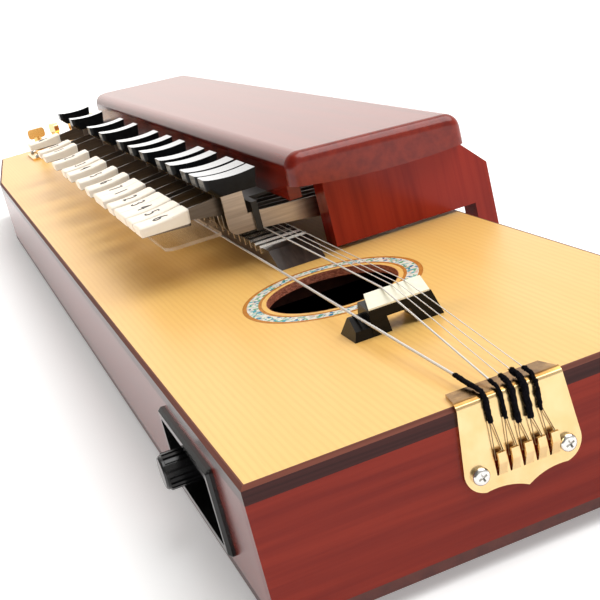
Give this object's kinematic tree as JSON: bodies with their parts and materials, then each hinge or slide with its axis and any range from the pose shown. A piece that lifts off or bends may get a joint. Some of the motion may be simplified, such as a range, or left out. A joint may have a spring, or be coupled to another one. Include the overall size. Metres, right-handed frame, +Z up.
{
  "type": "taishogoto",
  "caption": "Electric taishogoto (Nagoya harp): strings on a flat red sound box, fretted from above by hinged typewriter-style keys under a red cover, with gold pegs and volume knob.",
  "frame": {"origin": "bottom centre of the whole instrument, on the table plane under the feet", "axes": "+X towards the tail (bridge, control panel) end, +Y away from the player, +Z up"},
  "size_m": [0.7812, 0.1722, 0.0903],
  "materials": {
    "spruce": "satin lacquer, straight grain along X",
    "rosette": "inlaid mosaic between orange rings, gloss",
    "edge_band": "dark stained, gloss, lighter bevel",
    "back_board": "satin",
    "rubber": "matt",
    "fingerboard": "dark stained",
    "frets": "polished nickel silver",
    "bridge": "black satin",
    "saddle": "bone white",
    "tailpiece": "polished gold plate",
    "strings": "plain and wound steel",
    "string_windings": "black yarn",
    "red_lacquer": "gloss red-brown lacquer",
    "pivot_rod": "plain steel",
    "guide_comb": "black satin",
    "guard_plate": "clear acrylic",
    "control_panel": "black",
    "volume_knob": "black, ribbed",
    "peg_plate": "gold plate",
    "pegs": "gold plate",
    "screws": "bright",
    "black_key": "black cap on a steel lever",
    "white_key": "ivory white cap on a steel lever"
  },
  "bodies": {
    "base": {"soundboard": "spruce", "rosette": "rosette", "edge_band": "edge_band", "back_board": "back_board", "braces": "spruce", "feet": "rubber", "fingerboard": "fingerboard", "frets": "frets", "nut": "saddle", "bridge": "bridge", "saddle": "saddle", "tailpiece": "tailpiece", "strings": "strings", "string_windings": "string_windings", "block_right": "red_lacquer", "block_left": "red_lacquer", "pivot_rod": "pivot_rod", "lid": "red_lacquer", "guide_comb": "guide_comb", "guard_plate": "guard_plate", "control_panel": "control_panel", "peg_plate": "peg_plate", "screws": "screws", "side_front": "red_lacquer", "side_rear": "red_lacquer", "tail_board": "red_lacquer", "head_board": "red_lacquer"},
    "key_body_01": {"key_01": "black_key"},
    "key_body_02": {"key_02": "white_key"},
    "key_body_03": {"key_03": "black_key"},
    "key_body_04": {"key_04": "white_key"},
    "key_body_05": {"key_05": "white_key"},
    "key_body_06": {"key_06": "black_key"},
    "key_body_07": {"key_07": "white_key"},
    "key_body_08": {"key_08": "black_key"},
    "key_body_09": {"key_09": "white_key"},
    "key_body_10": {"key_10": "white_key"},
    "key_body_11": {"key_11": "black_key"},
    "key_body_12": {"key_12": "white_key"},
    "key_body_13": {"key_13": "black_key"},
    "key_body_14": {"key_14": "white_key"},
    "key_body_15": {"key_15": "black_key"},
    "key_body_16": {"key_16": "white_key"},
    "key_body_17": {"key_17": "white_key"},
    "key_body_18": {"key_18": "black_key"},
    "key_body_19": {"key_19": "white_key"},
    "key_body_20": {"key_20": "black_key"},
    "key_body_21": {"key_21": "white_key"},
    "key_body_22": {"key_22": "white_key"},
    "key_body_23": {"key_23": "black_key"},
    "key_body_24": {"key_24": "white_key"},
    "key_body_25": {"key_25": "black_key"},
    "key_body_26": {"key_26": "white_key"},
    "key_body_27": {"key_27": "black_key"},
    "peg_body_1": {"peg_1": "pegs"},
    "peg_body_2": {"peg_2": "pegs"},
    "peg_body_3": {"peg_3": "pegs"},
    "peg_body_4": {"peg_4": "pegs"},
    "peg_body_5": {"peg_5": "pegs"},
    "knob_body": {"volume_knob": "volume_knob"}
  },
  "joints": [
    {"name": "key_press_01", "type": "hinge", "parent": "base", "child": "key_body_01", "pos_m": [-0.2234, 0.0579, 0.06], "axis": [1, 0, 0], "range_deg": [0, 4.8], "stiffness_Nm_per_rad": 0.2, "springref_deg": -5.73, "deforming": ["strings"]},
    {"name": "key_press_02", "type": "hinge", "parent": "base", "child": "key_body_02", "pos_m": [-0.19358, 0.0579, 0.06], "axis": [1, 0, 0], "range_deg": [0, 4.8], "stiffness_Nm_per_rad": 0.2, "springref_deg": -5.73, "deforming": ["strings"]},
    {"name": "key_press_03", "type": "hinge", "parent": "base", "child": "key_body_03", "pos_m": [-0.16542, 0.0579, 0.06], "axis": [1, 0, 0], "range_deg": [0, 4.8], "stiffness_Nm_per_rad": 0.2, "springref_deg": -5.73, "deforming": ["strings"]},
    {"name": "key_press_04", "type": "hinge", "parent": "base", "child": "key_body_04", "pos_m": [-0.13885, 0.0579, 0.06], "axis": [1, 0, 0], "range_deg": [0, 4.8], "stiffness_Nm_per_rad": 0.2, "springref_deg": -5.73, "deforming": ["strings"]},
    {"name": "key_press_05", "type": "hinge", "parent": "base", "child": "key_body_05", "pos_m": [-0.11377, 0.0579, 0.06], "axis": [1, 0, 0], "range_deg": [0, 4.8], "stiffness_Nm_per_rad": 0.2, "springref_deg": -5.73, "deforming": ["strings"]},
    {"name": "key_press_06", "type": "hinge", "parent": "base", "child": "key_body_06", "pos_m": [-0.0901, 0.0579, 0.06], "axis": [1, 0, 0], "range_deg": [0, 4.8], "stiffness_Nm_per_rad": 0.2, "springref_deg": -5.73, "deforming": ["strings"]},
    {"name": "key_press_07", "type": "hinge", "parent": "base", "child": "key_body_07", "pos_m": [-0.06776, 0.0579, 0.06], "axis": [1, 0, 0], "range_deg": [0, 4.8], "stiffness_Nm_per_rad": 0.2, "springref_deg": -5.73, "deforming": ["strings"]},
    {"name": "key_press_08", "type": "hinge", "parent": "base", "child": "key_body_08", "pos_m": [-0.04667, 0.0579, 0.06], "axis": [1, 0, 0], "range_deg": [0, 4.8], "stiffness_Nm_per_rad": 0.2, "springref_deg": -5.73, "deforming": ["strings"]},
    {"name": "key_press_09", "type": "hinge", "parent": "base", "child": "key_body_09", "pos_m": [-0.02676, 0.0579, 0.06], "axis": [1, 0, 0], "range_deg": [0, 4.8], "stiffness_Nm_per_rad": 0.2, "springref_deg": -5.73, "deforming": ["strings"]},
    {"name": "key_press_10", "type": "hinge", "parent": "base", "child": "key_body_10", "pos_m": [-0.00797, 0.0579, 0.06], "axis": [1, 0, 0], "range_deg": [0, 4.8], "stiffness_Nm_per_rad": 0.2, "springref_deg": -5.73, "deforming": ["strings"]},
    {"name": "key_press_11", "type": "hinge", "parent": "base", "child": "key_body_11", "pos_m": [0.00976, 0.0579, 0.06], "axis": [1, 0, 0], "range_deg": [0, 4.8], "stiffness_Nm_per_rad": 0.2, "springref_deg": -5.73, "deforming": ["strings"]},
    {"name": "key_press_12", "type": "hinge", "parent": "base", "child": "key_body_12", "pos_m": [0.0265, 0.0579, 0.06], "axis": [1, 0, 0], "range_deg": [0, 4.8], "stiffness_Nm_per_rad": 0.2, "springref_deg": -5.73, "deforming": ["strings"]},
    {"name": "key_press_13", "type": "hinge", "parent": "base", "child": "key_body_13", "pos_m": [0.0423, 0.0579, 0.06], "axis": [1, 0, 0], "range_deg": [0, 4.8], "stiffness_Nm_per_rad": 0.2, "springref_deg": -5.73, "deforming": ["strings"]},
    {"name": "key_press_14", "type": "hinge", "parent": "base", "child": "key_body_14", "pos_m": [0.05721, 0.0579, 0.06], "axis": [1, 0, 0], "range_deg": [0, 4.8], "stiffness_Nm_per_rad": 0.2, "springref_deg": -5.73, "deforming": ["strings"]},
    {"name": "key_press_15", "type": "hinge", "parent": "base", "child": "key_body_15", "pos_m": [0.07129, 0.0579, 0.06], "axis": [1, 0, 0], "range_deg": [0, 4.8], "stiffness_Nm_per_rad": 0.2, "springref_deg": -5.73, "deforming": ["strings"]},
    {"name": "key_press_16", "type": "hinge", "parent": "base", "child": "key_body_16", "pos_m": [0.08457, 0.0579, 0.06], "axis": [1, 0, 0], "range_deg": [0, 4.8], "stiffness_Nm_per_rad": 0.2, "springref_deg": -5.73, "deforming": ["strings"]},
    {"name": "key_press_17", "type": "hinge", "parent": "base", "child": "key_body_17", "pos_m": [0.09711, 0.0579, 0.06], "axis": [1, 0, 0], "range_deg": [0, 4.8], "stiffness_Nm_per_rad": 0.2, "springref_deg": -5.73, "deforming": ["strings"]},
    {"name": "key_press_18", "type": "hinge", "parent": "base", "child": "key_body_18", "pos_m": [0.10895, 0.0579, 0.06], "axis": [1, 0, 0], "range_deg": [0, 4.8], "stiffness_Nm_per_rad": 0.2, "springref_deg": -5.73, "deforming": ["strings"]},
    {"name": "key_press_19", "type": "hinge", "parent": "base", "child": "key_body_19", "pos_m": [0.12012, 0.0579, 0.06], "axis": [1, 0, 0], "range_deg": [0, 4.8], "stiffness_Nm_per_rad": 0.2, "springref_deg": -5.73, "deforming": ["strings"]},
    {"name": "key_press_20", "type": "hinge", "parent": "base", "child": "key_body_20", "pos_m": [0.13067, 0.0579, 0.06], "axis": [1, 0, 0], "range_deg": [0, 4.8], "stiffness_Nm_per_rad": 0.2, "springref_deg": -5.73, "deforming": ["strings"]},
    {"name": "key_press_21", "type": "hinge", "parent": "base", "child": "key_body_21", "pos_m": [0.14062, 0.0579, 0.06], "axis": [1, 0, 0], "range_deg": [0, 4.8], "stiffness_Nm_per_rad": 0.2, "springref_deg": -5.73, "deforming": ["strings"]},
    {"name": "key_press_22", "type": "hinge", "parent": "base", "child": "key_body_22", "pos_m": [0.15001, 0.0579, 0.06], "axis": [1, 0, 0], "range_deg": [0, 4.8], "stiffness_Nm_per_rad": 0.2, "springref_deg": -5.73, "deforming": ["strings"]},
    {"name": "key_press_23", "type": "hinge", "parent": "base", "child": "key_body_23", "pos_m": [0.15888, 0.0579, 0.06], "axis": [1, 0, 0], "range_deg": [0, 4.8], "stiffness_Nm_per_rad": 0.2, "springref_deg": -5.73, "deforming": ["strings"]},
    {"name": "key_press_24", "type": "hinge", "parent": "base", "child": "key_body_24", "pos_m": [0.16725, 0.0579, 0.06], "axis": [1, 0, 0], "range_deg": [0, 4.8], "stiffness_Nm_per_rad": 0.2, "springref_deg": -5.73, "deforming": ["strings"]},
    {"name": "key_press_25", "type": "hinge", "parent": "base", "child": "key_body_25", "pos_m": [0.17515, 0.0579, 0.06], "axis": [1, 0, 0], "range_deg": [0, 4.8], "stiffness_Nm_per_rad": 0.2, "springref_deg": -5.73, "deforming": ["strings"]},
    {"name": "key_press_26", "type": "hinge", "parent": "base", "child": "key_body_26", "pos_m": [0.18261, 0.0579, 0.06], "axis": [1, 0, 0], "range_deg": [0, 4.8], "stiffness_Nm_per_rad": 0.2, "springref_deg": -5.73, "deforming": ["strings"]},
    {"name": "key_press_27", "type": "hinge", "parent": "base", "child": "key_body_27", "pos_m": [0.18964, 0.0579, 0.06], "axis": [1, 0, 0], "range_deg": [0, 4.8], "stiffness_Nm_per_rad": 0.2, "springref_deg": -5.73, "deforming": ["strings"]},
    {"name": "peg_turn_1", "type": "hinge", "parent": "base", "child": "peg_body_1", "pos_m": [-0.3421, -0.0341, 0.047], "axis": [0, 0, 1], "continuous": true},
    {"name": "peg_turn_2", "type": "hinge", "parent": "base", "child": "peg_body_2", "pos_m": [-0.3421, -0.0196, 0.047], "axis": [0, 0, 1], "continuous": true},
    {"name": "peg_turn_3", "type": "hinge", "parent": "base", "child": "peg_body_3", "pos_m": [-0.3421, -0.0051, 0.047], "axis": [0, 0, 1], "continuous": true},
    {"name": "peg_turn_4", "type": "hinge", "parent": "base", "child": "peg_body_4", "pos_m": [-0.3421, 0.0094, 0.047], "axis": [0, 0, 1], "continuous": true},
    {"name": "peg_turn_5", "type": "hinge", "parent": "base", "child": "peg_body_5", "pos_m": [-0.3421, 0.0239, 0.047], "axis": [0, 0, 1], "continuous": true},
    {"name": "volume_turn", "type": "hinge", "parent": "base", "child": "knob_body", "pos_m": [0.3089, -0.0761, 0.0251], "axis": [0, 1, 0], "range_deg": [-150, 150]}
  ]
}
